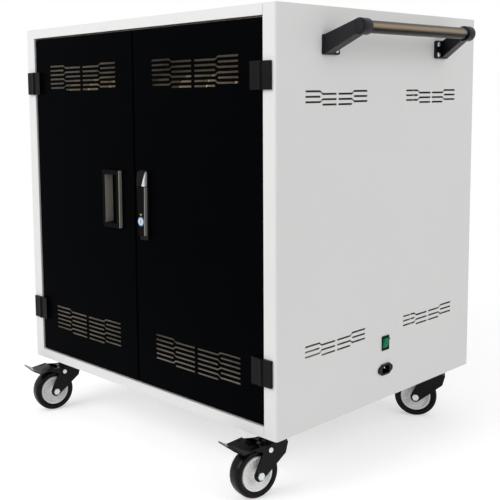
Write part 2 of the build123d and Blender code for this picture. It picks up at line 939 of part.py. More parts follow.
def handle_bracket(hand):
    """Moulded bracket: a screwed foot, a leaning arm and a blind socket for the tube."""
    foot_z = base_z + foot_centre_up
    inner_y = handle_y + hand * tube_exposed / 2
    outer_y = inner_y + hand * socket_length
    arm_root_y = outer_y + hand * (arm_lean - socket_length / 2)
    with BuildPart() as bracket:
        with BuildSketch(facing_right(right_x)):
            with Locations((foot_centre(hand), foot_z)):
                RectangleRounded(foot_length, foot_height, foot_corner)
        extrude(amount=foot_thickness)
        with BuildSketch(facing_right(right_x + foot_thickness - 1)):
            with Locations((arm_root_y, foot_z)):
                Rectangle(socket_length - arm_narrowing, foot_height - arm_narrowing)
        with BuildSketch(facing_right(tube_x - socket_overlap)):
            with Locations(((inner_y + outer_y) / 2, tube_z)):
                Rectangle(socket_length - arm_narrowing, 2 * socket_radius - socket_overlap)
        loft()
        with BuildSketch(facing_back(inner_y) if hand > 0 else facing_front(inner_y)):
            with Locations((-hand * tube_x, tube_z)):
                Circle(socket_radius)
        extrude(amount=socket_length - socket_cap)
        cap_y = inner_y + hand * (socket_length - socket_cap)
        with BuildSketch(facing_back(cap_y) if hand > 0 else facing_front(cap_y)):
            with Locations((-hand * tube_x, tube_z)):
                Circle(socket_radius)
        extrude(amount=socket_cap, taper=45)
        with BuildSketch(facing_back(inner_y) if hand > 0 else facing_front(inner_y)):
            with Locations((-hand * tube_x, tube_z)):
                Circle(tube_radius)
        extrude(amount=socket_length - socket_floor, mode=Mode.SUBTRACT)
    return bracket


def handle_screws():
    """Heads of the four screws that hold the brackets to the side panel."""
    with BuildPart() as screws:
        for hand in (-1, 1):
            screw_y = foot_centre(hand) - hand * (foot_length / 2 - screw_inset)
            with BuildSketch(facing_right(right_x + foot_thickness)):
                with Locations((screw_y, base_z + foot_centre_up)):
                    with GridLocations(1, screw_spacing, 1, 2):
                        Circle(screw_head_radius)
            extrude(amount=screw_head_height)
    return screws


casters = (
    (left_x + caster_inset_side, front_y + caster_inset_front, front_yaw, "front_left"),
    (right_x - caster_inset_side, front_y + caster_inset_front, front_yaw, "front_right"),
    (left_x + caster_inset_side, back_y - caster_inset_front, rear_left_yaw, "rear_left"),
    (right_x - caster_inset_side, back_y - caster_inset_front, rear_right_yaw, "rear_right"),
)
crown_z = 2 * wheel_radius + 6
dome_top_z = caster_height - plate_thickness - thrust_height


def caster_vectors(yaw):
    """Unit vectors of a caster: along its trail and along its axle."""
    a = radians(yaw)
    return Vector(cos(a), sin(a), 0), Vector(-sin(a), cos(a), 0)


def side_of(caster, across_distance):
    """Upright plane beside a caster: local x runs along the trail, local y up."""
    x, y, yaw, _ = caster
    along, across = caster_vectors(yaw)
    origin = Vector(x, y, 0) + across * across_distance
    return Plane(origin=origin, x_dir=along, z_dir=-across)


def wheel_section(caster):
    """Plane through the axle: local x runs along the axle, local y up from it."""
    x, y, yaw, _ = caster
    along, across = caster_vectors(yaw)
    origin = Vector(x, y, wheel_radius) + along * trail
    return Plane(origin=origin, x_dir=across, z_dir=along)


def caster_plates():
    """Top plates of the casters, each with its thrust ring and kingpin."""
    underside = caster_height - plate_thickness
    with BuildPart() as plates:
        for x, y, _, _ in casters:
            with BuildSketch(Plane.XY.offset(underside)):
                with Locations((x, y)):
                    RectangleRounded(plate_length, plate_width, plate_corner)
            extrude(amount=plate_thickness)
            with BuildSketch(Plane.XY.offset(underside)):
                with Locations((x, y)):
                    Circle(thrust_radius)
            extrude(amount=-(underside - dome_top_z - thrust_gap))
            with BuildSketch(Plane.XY.offset(underside)):
                with Locations((x, y)):
                    Circle(kingpin_radius)
            extrude(amount=-(underside - crown_z - fork_steel - kingpin_overrun))
    return plates


def caster_bolts():
    """Heads and nuts of the hexagon bolts that clamp the caster plates to the base."""
    with BuildPart() as bolts:
        for x, y, _, _ in casters:
            for low in (caster_height - plate_thickness - bolt_head_height, base_z + sheet):
                with BuildSketch(Plane.XY.offset(low)):
                    with Locations((x, y)):
                        with GridLocations(bolt_spacing_x, bolt_spacing_y, 2, 2):
                            RegularPolygon(bolt_head_radius, 6)
                extrude(amount=bolt_head_height)
    return bolts


def caster_fork(caster):
    """Pressed fork: a stepped crown over the swivel and two tapering legs."""
    x, y, yaw, _ = caster
    outer = fork_gap / 2 + fork_steel
    crown_low = crown_z - fork_steel
    with BuildPart() as fork:
        with BuildSketch(Plane(origin=(x, y, crown_low), x_dir=caster_vectors(yaw)[0], z_dir=(0, 0, 1))):
            RectangleRounded(2 * half_crown, 2 * outer, 5)
        extrude(amount=2 * fork_steel)
        with BuildSketch(Plane.XY.offset(crown_z + fork_steel)):
            with Locations((x, y)):
                Circle(dome_radius)
        extrude(amount=dome_top_z - crown_z - fork_steel)
        for start in (outer, -fork_gap / 2):
            with BuildSketch(side_of(caster, start)):
                with BuildLine():
                    Polyline((-half_crown, crown_z), (half_crown, crown_z))
                    Polyline((-half_crown, crown_z), (-half_crown + leg_slant, crown_z - leg_shoulder))
                    CenterArc((trail, wheel_radius), leg_end_radius, 0, 360)
                make_hull()
            extrude(amount=fork_steel)
        with BuildSketch(Plane.XY.offset(crown_low)):
            with Locations((x, y)):
                Circle(kingpin_radius + axle_clearance)
        extrude(amount=caster_height - crown_low, mode=Mode.SUBTRACT)
        with BuildSketch(side_of(caster, outer + 1)):
            with Locations((trail, wheel_radius)):
                Circle(axle_radius)
        extrude(amount=2 * outer + 2, mode=Mode.SUBTRACT)
    return fork


def caster_tyre(caster):
    """Solid tyre with sloping shoulders."""
    half = tyre_width / 2
    plane = wheel_section(caster)
    with BuildPart() as tyre:
        with BuildSketch(plane):
            with BuildLine():
                Polyline(
                    (-half, rim_radius), (-half, wheel_radius - shoulder_rise),
                    (-half + shoulder_run, wheel_radius), (half - shoulder_run, wheel_radius),
                    (half, wheel_radius - shoulder_rise), (half, rim_radius),
                    close=True,
                )
            make_face()
        revolve(axis=Axis(plane.origin, plane.x_dir))
    return tyre


def caster_hub(caster):
    """Moulded wheel centre: dished on both faces, with a boss round the axle."""
    half = tyre_width / 2 - rim_inset
    boss = hub_width / 2
    plane = wheel_section(caster)
    with BuildPart() as hub:
        with BuildSketch(plane):
            with BuildLine():
                Polyline(
                    (-half, rim_radius), (half, rim_radius), (half_web, boss_radius), (boss, boss_radius),
                    (boss, axle_radius + axle_clearance), (-boss, axle_radius + axle_clearance),
                    (-boss, boss_radius), (-half_web, boss_radius),
                    close=True,
                )
            make_face()
        revolve(axis=Axis(plane.origin, plane.x_dir))
    return hub


def caster_axle(caster):
    """Axle bolt with its hexagon head and nut outside the fork legs."""
    outer = fork_gap / 2 + fork_steel
    with BuildPart() as axle:
        with BuildSketch(side_of(caster, outer)):
            with Locations((trail, wheel_radius)):
                Circle(axle_radius)
        extrude(amount=2 * outer)
        with BuildSketch(side_of(caster, outer + axle_head_height)):
            with Locations((trail, wheel_radius)):
                RegularPolygon(axle_head_radius, 6)
        extrude(amount=axle_head_height)
        with BuildSketch(side_of(caster, -outer)):
            with Locations((trail, wheel_radius)):
                RegularPolygon(axle_head_radius, 6)
        extrude(amount=axle_head_height)
    return axle


pedal_pivot_u = 18
pedal_pivot_z = 97
arm_clearance = 0.4
plate_low_z = wheel_radius * 2 + 9


def brake_pedal(caster):
    """Brake pedal: two arms outside the fork, a wide foot plate and its raised tip."""
    x, y, yaw, _ = caster
    along, across = caster_vectors(yaw)
    inner = fork_gap / 2 + fork_steel + arm_clearance
    with BuildPart() as pedal:
        with BuildSketch(side_of(caster, pedal_width / 2)):
            with BuildLine():
                FilletPolyline(
                    (46, plate_low_z), (pedal_length - 22, plate_low_z - 6), (pedal_length, plate_low_z + 6),
                    (pedal_length, plate_low_z + 6 + pedal_steel),
                    (pedal_length - 22, plate_low_z - 6 + pedal_steel), (46, plate_low_z + pedal_steel),
                    radius=0.6, close=True,
                )
            make_face()
        extrude(amount=pedal_width)
        with BuildSketch(Plane(origin=(x, y, 0), x_dir=along, z_dir=(0, 0, 1))):
            with Locations((pedal_length / 2, 0)):
                RectangleRounded(pedal_length, pedal_width, pedal_corner)
        extrude(amount=caster_height, mode=Mode.INTERSECT)
        for start in (inner + pedal_steel, -inner):
            with BuildSketch(side_of(caster, start)):
                with BuildLine():
                    CenterArc((pedal_pivot_u, pedal_pivot_z), 8, 0, 360)
                    Polyline((46, plate_low_z - 8), (62, plate_low_z - 1), (62, plate_low_z + 1.5))
                    Polyline((46, plate_low_z + 2), (62, plate_low_z + 1))
                make_hull()
            extrude(amount=pedal_steel)
        with BuildSketch(side_of(caster, inner + pedal_steel)):
            with Locations((pedal_pivot_u, pedal_pivot_z)):
                Circle(3 + axle_clearance)
        extrude(amount=2 * (inner + pedal_steel), mode=Mode.SUBTRACT)
    return pedal


def pedal_rivets(caster):
    """Pivot rivets of a brake pedal, one on each fork leg."""
    leg = fork_gap / 2 + fork_steel
    reach = arm_clearance + pedal_steel + 0.4
    with BuildPart() as rivets:
        for start, head in ((leg + reach, leg + reach + 2), (-leg, -leg - reach)):
            with BuildSketch(side_of(caster, start)):
                with Locations((pedal_pivot_u, pedal_pivot_z)):
                    Circle(3)
            extrude(amount=reach)
            with BuildSketch(side_of(caster, head)):
                with Locations((pedal_pivot_u, pedal_pivot_z)):
                    Circle(5)
            extrude(amount=2)
    return rivets


save(side_panel(-1), "left_side_panel")
save(side_panel(1), "right_side_panel")
save(end_panel(False), "top_panel")
save(end_panel(True), "base_panel")
save(front_door(-1), "left_door")
save(front_door(1), "right_door")
save(door_pull(), "door_pull")
save(lock_base(), "lock_base")
save(lock_hub(), "lock_hub")
save(lock_lever(), "lock_lever")
save(key_cylinder(), "key_cylinder")
save(lock_cam(), "lock_cam")
for rod_name, rod_part in lock_rods().items():
    save(rod_part, rod_name)
save(rod_guides(), "rod_guides")
save(back_door(), "back_door")
save(back_lock(), "back_lock")
front_left_hinges = [(-1, False)]
front_right_hinges = [(1, False)]
back_hinges = [(-1, True)]
all_hinges = front_left_hinges + front_right_hinges + back_hinges
save(hinge_leaves(all_hinges, False), "frame_hinge_leaves")
save(hinge_leaves(front_left_hinges, True), "left_door_hinge_leaves")
save(hinge_leaves(front_right_hinges, True), "right_door_hinge_leaves")
save(hinge_leaves(back_hinges, True), "back_door_hinge_leaves")
save(hinge_pins(all_hinges), "hinge_pins")
save(shelf(lower_deck_z), "lower_shelf")
save(shelf(upper_deck_z), "upper_shelf")
save(dividers(lower_deck_z), "lower_dividers")
save(dividers(upper_deck_z), "upper_dividers")
save(partition_walls(), "partition_walls")
save(power_strips(), "power_strips")
save(adapter_trays(), "adapter_trays")
save(power_unit(), "power_unit")
save(switch_bezel(), "switch_bezel")
save(switch_rocker(), "switch_rocker")
save(inlet_housing(), "inlet_housing")
save(inlet_blades(), "inlet_blades")
save(handle_tube(), "handle_tube")
save(handle_bracket(-1), "front_handle_bracket")
save(handle_bracket(1), "rear_handle_bracket")
save(handle_screws(), "handle_screws")
save(caster_plates(), "caster_plates")
save(caster_bolts(), "caster_bolts")
for caster in casters:
    place = caster[3]
    save(caster_fork(caster), f"{place}_fork")
    save(caster_tyre(caster), f"{place}_tyre")
    save(caster_hub(caster), f"{place}_hub")
    save(caster_axle(caster), f"{place}_axle")
    if place.startswith("front"):
        save(brake_pedal(caster), f"{place}_pedal")
        save(pedal_rivets(caster), f"{place}_rivets")
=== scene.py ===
"""Looks of the charging cart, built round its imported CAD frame, in metres."""
import json
import logging
import math
from dataclasses import dataclass
from enum import Enum

import bpy
import numpy as np
from mathutils import Matrix, Vector


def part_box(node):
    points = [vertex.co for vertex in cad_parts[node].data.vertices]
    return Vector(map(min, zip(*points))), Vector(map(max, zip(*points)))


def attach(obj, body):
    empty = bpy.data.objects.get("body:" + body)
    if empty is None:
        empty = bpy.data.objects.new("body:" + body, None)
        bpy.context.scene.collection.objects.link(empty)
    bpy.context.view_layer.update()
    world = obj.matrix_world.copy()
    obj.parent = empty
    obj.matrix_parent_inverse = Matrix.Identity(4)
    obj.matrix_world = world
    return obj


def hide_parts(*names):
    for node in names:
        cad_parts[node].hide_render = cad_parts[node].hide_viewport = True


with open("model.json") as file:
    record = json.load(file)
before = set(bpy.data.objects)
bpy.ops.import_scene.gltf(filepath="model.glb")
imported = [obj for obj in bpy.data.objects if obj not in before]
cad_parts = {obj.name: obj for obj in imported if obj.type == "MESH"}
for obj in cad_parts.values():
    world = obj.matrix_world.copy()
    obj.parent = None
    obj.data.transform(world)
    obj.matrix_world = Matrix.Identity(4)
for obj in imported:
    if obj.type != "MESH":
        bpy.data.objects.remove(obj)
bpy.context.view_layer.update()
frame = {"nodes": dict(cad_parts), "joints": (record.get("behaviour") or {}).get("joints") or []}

MM = 0.001
LOG = logging.getLogger("cart")
RGB = tuple[float, float, float]
NOISE_MEAN = 0.5
NOISE_ROUGHNESS = 0.55
# The part of a normal along X above which a face counts as a side.
SIDE_FACING = 0.45
# The stretch that draws noise out into upright brush lines.
UPRIGHT = (1, 1, 0.05)
# Sockets of a Mix node that mixes colours: its factor, both ends and its result.
MIX_FACTOR, MIX_LOW, MIX_HIGH, MIX_RESULT = 0, 6, 7, 2


class Place(Enum):
    """The four casters, by the corner of the cabinet that each stands under."""

    FRONT_LEFT = "front_left"
    FRONT_RIGHT = "front_right"
    REAR_LEFT = "rear_left"
    REAR_RIGHT = "rear_right"


class Value:
    """A node socket that does shader maths with Python operators."""

    def __init__(self, graph: "Graph", socket: bpy.types.NodeSocket) -> None:
        """Keeps the graph and the output socket."""
        self.graph = graph
        self.socket = socket

    def _math(self, operation: str, *values: object) -> "Value":
        """One Math node.

        Args:
            operation: the node's operation.
            values: numbers or Values for its inputs.

        Returns:
            The result as a Value.
        """
        node = self.graph.node("ShaderNodeMath", {"operation": operation}, dict(enumerate(values)))
        return Value(self.graph, node.outputs[0])

    def __add__(self, other: object) -> "Value":
        """Sum."""
        return self._math("ADD", self, other)

    __radd__ = __add__

    def __mul__(self, other: object) -> "Value":
        """Product."""
        return self._math("MULTIPLY", self, other)

    __rmul__ = __mul__

    def __sub__(self, other: object) -> "Value":
        """Difference."""
        return self._math("SUBTRACT", self, other)

    def __rsub__(self, other: object) -> "Value":
        """Difference from a number."""
        return self._math("SUBTRACT", other, self)

    def above(self, limit: float) -> "Value":
        """1 where the value is over the limit, else 0."""
        return self._math("GREATER_THAN", self, limit)

    def size(self) -> "Value":
        """The value without its sign."""
        return self._math("ABSOLUTE", self)

    def clamped(self) -> "Value":
        """The value held between 0 and 1."""
        return self._math("MINIMUM", self._math("MAXIMUM", self, 0.0), 1.0)


class Graph:
    """A node tree, to which every node is added by one method."""

    def __init__(self, tree: bpy.types.NodeTree) -> None:
        """Keeps the tree."""
        self.tree = tree

    def put(self, socket: bpy.types.NodeSocket, value: object) -> None:
        """Links a value to a socket, or sets it there.

        Args:
            socket: the input.
            value: a Value or an output, which is linked, or a number or colour, which is set.
        """
        if isinstance(value, Value):
            self.tree.links.new(value.socket, socket)
        elif isinstance(value, bpy.types.NodeSocket):
            self.tree.links.new(value, socket)
        else:
            socket.default_value = value

    def node(self, kind: str, settings: dict | None = None, sockets: dict | None = None) -> bpy.types.Node:
        """Adds a node.

        Args:
            kind: the node's type.
            settings: its attributes, set first.
            sockets: values, Values or outputs for its inputs, by name or number.

        Returns:
            The node.
        """
        node = self.tree.nodes.new(kind)
        for key, value in (settings or {}).items():
            setattr(node, key, value)
        for key, value in (sockets or {}).items():
            self.put(node.inputs[key], value)
        return node

    def ray(self, kind: str) -> Value:
        """One output of Light Path."""
        return Value(self, self.node("ShaderNodeLightPath").outputs[kind])


class Paint(Graph):
    """A material's nodes, round one Principled shader."""

    def __init__(self, name: str) -> None:
        """Starts the material and finds its shader.

        Args:
            name: the material's name.
        """
        self.material = bpy.data.materials.new(name)
        self.material.use_nodes = True
        super().__init__(self.material.node_tree)
        self.shader = self.tree.nodes["Principled BSDF"]
        self.coords = self.node("ShaderNodeTexCoord")

    def feed(self, **values: object) -> None:
        """Sets or links the shader's inputs, with _ for the spaces in their names."""
        for name, value in values.items():
            self.put(self.shader.inputs[name.replace("_", " ")], value)

    def noise(self, scale: float, detail: float = 3.0, stretch: RGB = (1, 1, 1)) -> Value:
        """Fractal noise on Object coordinates.

        Args:
            scale: cells per metre.
            detail: octaves.
            stretch: scale along each axis.

        Returns:
            The noise, about 0.5 in the mean.
        """
        place = {"Vector": self.coords.outputs["Object"], "Scale": stretch}
        mapping = self.node("ShaderNodeMapping", None, place)
        cells = {"Vector": mapping.outputs["Vector"], "Scale": scale, "Detail": detail}
        made = self.node("ShaderNodeTexNoise", None, {**cells, "Roughness": NOISE_ROUGHNESS})
        return Value(self, made.outputs["Fac"])

    def axis(self, name: str, source: str = "Object") -> Value:
        """One component of Object coordinates or of the surface's Normal."""
        parts = self.node("ShaderNodeSeparateXYZ", None, {"Vector": self.coords.outputs[source]})
        return Value(self, parts.outputs[name])

    def blend(self, mask: object, low: object, high: object) -> bpy.types.NodeSocket:
        """Colour that goes from low to high with the mask.

        Args:
            mask: 0 to 1, as a Value or a number.
            low: the colour, or an output, where the mask is 0.
            high: the colour, or an output, where the mask is 1.

        Returns:
            The output that carries the colour.
        """
        ends = [(*end, 1) if isinstance(end, tuple) else end for end in (low, high)]
        sockets = {MIX_FACTOR: mask, MIX_LOW: ends[0], MIX_HIGH: ends[1]}
        return self.node("ShaderNodeMix", {"data_type": "RGBA"}, sockets).outputs[MIX_RESULT]

    def around(self, mask: object, colour: RGB, spread: float) -> bpy.types.NodeSocket:
        """Colour that wanders round its mean by a share of itself, as the mask goes from 0 to 1."""
        return self.blend(mask, shade(colour, 1 - spread), shade(colour, 1 + spread))

    def bump(self, height: Value, distance: float, strength: float = 0.5) -> None:
        """Raises the surface by the height times the distance, in metres."""
        sockets = {"Height": height, "Distance": distance, "Strength": strength}
        self.feed(Normal=self.node("ShaderNodeBump", None, sockets).outputs["Normal"])


def shade(colour: RGB, factor: float) -> RGB:
    """A colour made darker or lighter by a factor."""
    return tuple(min(1.0, c * factor) for c in colour)


def signed_power(values: np.ndarray, power: float) -> np.ndarray:
    """Each value's size raised to a power, with the value's own sign."""
    return np.sign(values) * np.abs(values) ** power


@dataclass(frozen=True)
class Coat:
    """A paint, plastic or rubber: cloudy colour, a fine grain and, if wanted, a glow."""

    name: str
    colour: RGB
    roughness: float
    specular: float = 0.5
    variation: float = 0.06
    grain: float = 900.0
    grain_depth: float = 0.00006
    glow: float = 0.0
    grain_detail: float = 2.0
    grain_sheen: float = 0.06
    cloud: float = 9.0
    cloud_sheen: float = 0.12

    def make(self) -> bpy.types.Material:
        """Builds the material.

        Returns:
            The material.
        """
        p = Paint(self.name)
        cloud = p.noise(self.cloud)
        fine = p.noise(self.grain, self.grain_detail)
        colour = p.around(cloud, self.colour, self.variation)
        sheen = (cloud - NOISE_MEAN) * self.cloud_sheen + (fine - NOISE_MEAN) * self.grain_sheen
        rough = sheen + self.roughness
        p.feed(Base_Color=colour, Roughness=rough, Specular_IOR_Level=self.specular)
        if self.glow:
            p.feed(Emission_Color=colour, Emission_Strength=self.glow)
        p.bump(fine, self.grain_depth)
        return p.material


@dataclass(frozen=True)
class Metal:
    """A plated metal with a fine grain and dull patches."""

    name: str
    colour: RGB
    roughness: float
    depth: float = 0.00002
    lines: float = 600.0
    patches: float = 14.0
    patch_share: float = 0.3
    variation: float = 0.12
    sheen: float = 0.25

    def make(self) -> bpy.types.Material:
        """Builds the material.

        Returns:
            The material.
        """
        p = Paint(self.name)
        grain = p.noise(self.lines)
        tone = (grain * (1 - self.patch_share) + p.noise(self.patches) * self.patch_share).clamped()
        rough = (grain - NOISE_MEAN) * self.sheen + self.roughness
        p.feed(Metallic=1.0, Base_Color=p.around(tone, self.colour, self.variation), Roughness=rough)
        p.bump(grain, self.depth)
        return p.material


@dataclass(frozen=True)
class EdgedPaint:
    """Black on the faces that look forward, satin metal on those that look sideways."""

    name: str
    paint: RGB
    metal: RGB
    lines: float = 500.0
    paint_spread: float = 0.2
    metal_spread: float = 0.12
    roughness: float = 0.4
    sheen: float = 0.15
    metallic: float = 0.15
    specular: float = 0.04
    depth: float = 0.00002

    def make(self) -> bpy.types.Material:
        """Builds the material.

        Returns:
            The material.
        """
        p = Paint(self.name)
        sideways = p.axis("X", "Normal").size().above(SIDE_FACING)
        brush = p.noise(self.lines, stretch=UPRIGHT)
        paint = p.around(brush, self.paint, self.paint_spread)
        metal = p.around(brush, self.metal, self.metal_spread)
        rough = (brush - NOISE_MEAN) * self.sheen + self.roughness
        p.feed(Base_Color=p.blend(sideways, paint, metal), Metallic=sideways * self.metallic)
        p.feed(Roughness=rough, Specular_IOR_Level=self.specular)
        p.bump(brush, self.depth)
        return p.material


@dataclass(frozen=True)
class HubBlade:
    """Black hub with a bright blade up its right side, which narrows towards the top."""

    name: str
    paint: RGB
    metal: RGB
    slope: float = 0.32
    lines: float = 500.0
    paint_spread: float = 0.2
    metal_spread: float = 0.1
    roughness: float = 0.3
    sheen: float = 0.1
    metallic: float = 0.3
    specular: float = 0.1
    depth: float = 0.00001

    def make(self) -> bpy.types.Material:
        """Builds the material: bright where the drop from the top, times the slope, passes the way in.

        Returns:
            The material.
        """
        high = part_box("lock_hub")[1]
        p = Paint(self.name)
        brush = p.noise(self.lines, stretch=UPRIGHT)
        reach = (high.z - p.axis("Z")) * self.slope - (high.x - p.axis("X"))
        bright = (reach.above(0.0) + p.axis("X", "Normal").above(SIDE_FACING)).clamped()
        paint = p.around(brush, self.paint, self.paint_spread)
        metal = p.around(brush, self.metal, self.metal_spread)
        rough = (brush - NOISE_MEAN) * self.sheen + self.roughness
        p.feed(Base_Color=p.blend(bright, paint, metal), Metallic=bright * self.metallic)
        p.feed(Roughness=rough, Specular_IOR_Level=self.specular)
        p.bump(brush, self.depth)
        return p.material


@dataclass(frozen=True)
class TubeSteel:
    """Brushed tube with a painted highlight along its middle and painted reflections of dark surroundings
    above and below.
    """

    name: str
    pale: RGB
    dark: RGB
    lines: float = 900.0
    along: RGB = (1, 0.015, 1)
    # Height, fall-off, half width and brush wander of the painted highlight and the painted reflections.
    highlight_height: float = 0.2
    reflection_slope: float = 2.4
    highlight_half: float = 0.35
    reflection_wander: float = 0.5
    roughness: float = 0.3
    sheen: float = 0.2
    depth: float = 0.00002

    def make(self) -> bpy.types.Material:
        """Builds the material.

        The height over the tube's centre line runs from -1 to 1, and the colour darkens
        with the distance from the painted highlight's height, times the slope, into painted
        reflections of dark surroundings.

        Returns:
            The material.
        """
        low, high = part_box("handle_tube")
        p = Paint(self.name)
        brush = p.noise(self.lines, stretch=self.along)
        # Painted reflection: a pale painted highlight at one height that darkens into painted reflections of
        # dark surroundings above and below.
        height = (p.axis("Z") - (low.z + high.z) / 2) * (2 / (high.z - low.z))
        away = (height - self.highlight_height).size() * self.reflection_slope - self.highlight_half
        reflection_mask = (away + (brush - NOISE_MEAN) * self.reflection_wander).clamped()
        rough = (brush - NOISE_MEAN) * self.sheen + self.roughness
        p.feed(Metallic=1.0, Base_Color=p.blend(reflection_mask, self.pale, self.dark), Roughness=rough)
        p.bump(brush, self.depth)
        return p.material


WHITE_PAINT = Coat(
    "white_powder_coat", (0.80, 0.80, 0.795), roughness=0.42,
    specular=0.4, variation=0.012, grain=1400.0, grain_depth=0.00004,
)
GREY_PAINT = Coat(
    "grey_powder_coat", (0.5, 0.48, 0.44), roughness=0.45,
    specular=0.4, variation=0.03, grain=1400.0, grain_depth=0.00004,
)
BLACK_PAINT = Coat(
    "black_powder_coat", (0.0008, 0.001, 0.0014), roughness=0.38,
    specular=0.008, variation=0.2, grain=1500.0, grain_depth=0.00002,
)
BLACK_ZINC = Coat(
    "black_zinc", (0.002, 0.002, 0.0025), roughness=0.3,
    specular=0.12, variation=0.3, grain=1100.0, grain_depth=0.00003,
)
FORK_BLACK = Coat(
    "gloss_black_enamel", (0.0012, 0.0013, 0.0017), roughness=0.12,
    specular=0.14, variation=0.3, grain=500.0, grain_depth=0.00003,
)
BRACKET = Coat(
    "bracket_moulding", (0.0065, 0.0068, 0.0095), roughness=0.36,
    specular=0.22, variation=0.15, grain=1600.0, grain_depth=0.00012,
)
BLACK_PLASTIC = Coat(
    "black_moulding", (0.002, 0.002, 0.0025), roughness=0.3,
    specular=0.12, variation=0.2, grain=1200.0, grain_depth=0.00005,
)
DIVIDER = Coat(
    "divider_moulding", (0.34, 0.31, 0.26), roughness=0.5,
    specular=0.4, variation=0.05, grain=1200.0, grain_depth=0.00008,
)
RUBBER = Coat(
    "tyre_rubber", (0.002, 0.0021, 0.0028), roughness=0.24,
    specular=0.13, variation=0.25, grain=700.0, grain_depth=0.00006,
)
HUB_WHITE = Coat("hub_moulding", (0.90, 0.90, 0.885), roughness=0.38, variation=0.03)
GREEN_LENS = Coat(
    "green_rocker", (0.0, 0.10, 0.035), roughness=0.3,
    specular=0.04, variation=0.25, grain=300.0, grain_depth=0.00002, glow=0.7,
)
KEY_BLUE = Coat("key_ring_blue", (0.02, 0.16, 0.42), roughness=0.35, variation=0.1)
MARK_YELLOW = Coat("mark_yellow", (0.75, 0.50, 0.03), roughness=0.4, variation=0.08)
MARK_GREEN = Coat("mark_pale_green", (0.08, 0.34, 0.16), roughness=0.4, specular=0.1, variation=0.05)
ZINC = Metal("bright_zinc", (0.62, 0.67, 0.70), roughness=0.28)
CHROME = Metal("polished_chrome", (0.85, 0.85, 0.88), roughness=0.15, depth=0.000004)
BRASS = Metal("plated_contact", (0.85, 0.84, 0.78), roughness=0.22)
LEVER_FINISH = EdgedPaint("lever_black_and_zinc", paint=(0.0015, 0.0015, 0.002), metal=(0.28, 0.275, 0.27))
PULL_FINISH = EdgedPaint("pull_black_and_satin", paint=(0.001, 0.001, 0.0012), metal=(0.30, 0.28, 0.25))
HUB_FINISH = HubBlade("hub_black_and_chrome", paint=(0.002, 0.002, 0.0025), metal=(0.72, 0.72, 0.74))
# pale is a painted highlight and dark is a painted reflection of dark surroundings on the tube.
TUBE_STEEL = TubeSteel("champagne_steel", pale=(0.34, 0.265, 0.18), dark=(0.006, 0.0055, 0.005))

CAD_FINISHES = {
    WHITE_PAINT: ("left_side_panel", "right_side_panel", "top_panel", "base_panel", "back_door"),
    GREY_PAINT: ("lower_shelf", "upper_shelf", "partition_walls", "adapter_trays", "power_unit"),
    BLACK_PAINT: ("left_door", "right_door"),
    BLACK_ZINC: (
        "frame_hinge_leaves", "left_door_hinge_leaves", "right_door_hinge_leaves",
        "back_door_hinge_leaves", "hinge_pins",
    ),
    FORK_BLACK: (
        "caster_plates", "front_left_pedal", "front_right_pedal",
        *(f"{place.value}_fork" for place in Place),
    ),
    LEVER_FINISH: ("lock_lever",),
    HUB_FINISH: ("lock_hub",),
    PULL_FINISH: ("door_pull",),
    BRACKET: ("front_handle_bracket", "rear_handle_bracket"),
    BLACK_PLASTIC: ("switch_bezel", "inlet_housing", "power_strips", "lock_base"),
    DIVIDER: ("lower_dividers", "upper_dividers"),
    GREEN_LENS: ("switch_rocker",),
    ZINC: (
        "caster_bolts", "back_lock", "lock_cam", "upper_rod", "lower_rod", "rod_guides",
        "front_left_rivets", "front_right_rivets",
        *(f"{place.value}_axle" for place in Place),
    ),
    CHROME: ("key_cylinder",),
    BRASS: ("inlet_blades",),
    TUBE_STEEL: ("handle_tube",),
}

# Widths of the softened edges, in millimetres.
SOFT_EDGES = {
    "front_handle_bracket": 3.0, "rear_handle_bracket": 3.0,
    "front_left_pedal": 0.8, "front_right_pedal": 0.8,
    "lock_lever": 0.7, "lock_hub": 0.8, "switch_bezel": 0.5, "switch_rocker": 0.7, "inlet_housing": 0.5,
    **{f"{place.value}_fork": 1.0 for place in Place},
}


class Dresser:
    """Makes each finish once and puts it on pieces."""

    def __init__(self) -> None:
        """Starts with no finish made."""
        self.made: dict[object, bpy.types.Material] = {}

    def dress(self, piece: bpy.types.Object, finish: object) -> bpy.types.Object:
        """Gives a piece one finish.

        Args:
            piece: the object.
            finish: the finish, made on its first use.

        Returns:
            The same object.
        """
        if finish not in self.made:
            self.made[finish] = finish.make()
        piece.data.materials.clear()
        piece.data.materials.append(self.made[finish])
        return piece


